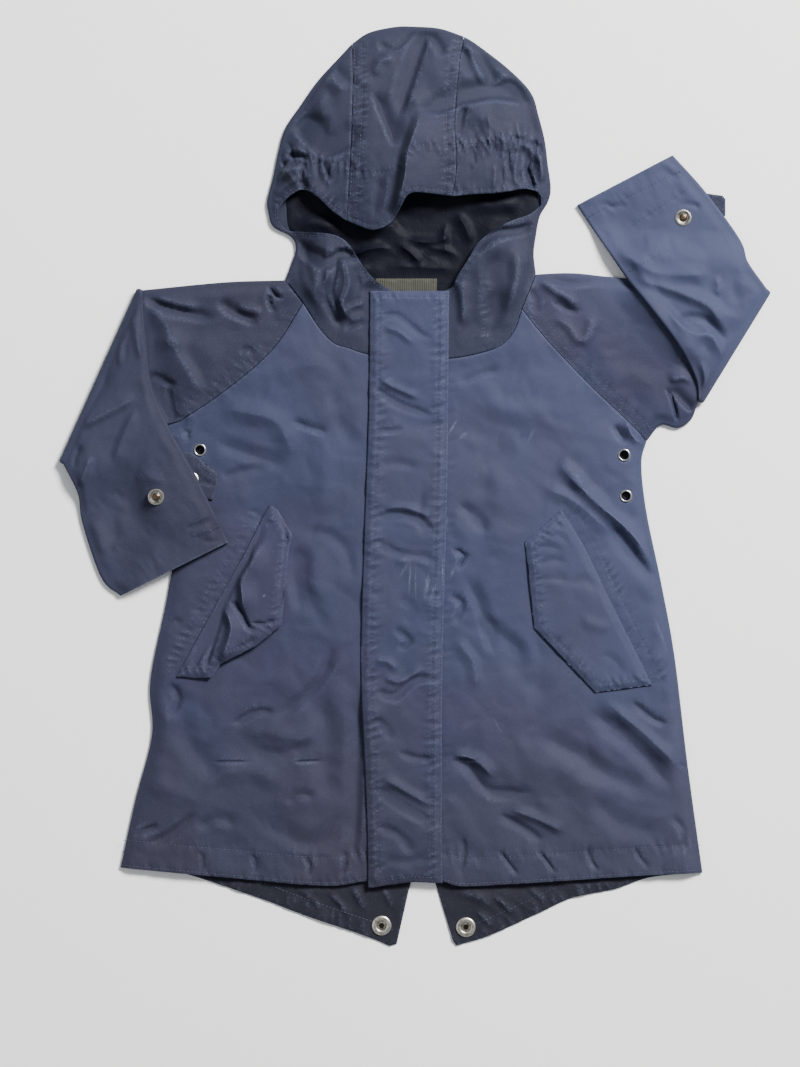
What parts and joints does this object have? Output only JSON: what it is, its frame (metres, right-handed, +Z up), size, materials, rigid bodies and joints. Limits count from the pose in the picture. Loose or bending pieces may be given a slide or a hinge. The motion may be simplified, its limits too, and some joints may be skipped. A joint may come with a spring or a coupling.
{
  "type": "child's hooded parka laid flat",
  "caption": "Light hooded parka laid flat on its back, raglan sleeves folded over at the elbow, storm flap, slanted pocket flaps and a split fishtail hem.",
  "frame": {"origin": "on the surface that the garment lies on, under the middle of its outline", "axes": "+Y from hem to hood, +X to the wearer's left, +Z up from the surface"},
  "size_m": [0.5332, 0.6906, 0.0255],
  "materials": {
    "shell_cloth": "crisp plain-weave cotton and nylon, softly creased, faint sheen",
    "label_cloth": "plain woven strip",
    "closure_tape": "plain tape",
    "snap_metal": "worn nickel-plated brass",
    "eyelet_metal": "dark plated, worn bright at the rim"
  },
  "bodies": {
    "root": {"back": "shell_cloth", "front_right": "shell_cloth", "front_left": "shell_cloth", "sleeve_right": "shell_cloth", "sleeve_left": "shell_cloth", "hood_centre": "shell_cloth", "hood_side_right": "shell_cloth", "hood_side_left": "shell_cloth", "placket": "shell_cloth", "pocket_flap_right": "shell_cloth", "pocket_flap_left": "shell_cloth", "cuff_tab_right": "shell_cloth", "cuff_tab_left": "shell_cloth", "neck_label": "label_cloth", "zip_strip": "closure_tape", "eyelet_right": "eyelet_metal", "eyelet_left_upper": "eyelet_metal", "eyelet_left_lower": "eyelet_metal", "cuff_stud_right": "snap_metal", "cuff_stud_left": "snap_metal", "tab_snap_right": "snap_metal", "tail_snap_right": "snap_metal", "tail_snap_left": "snap_metal"}
  },
  "joints": []
}
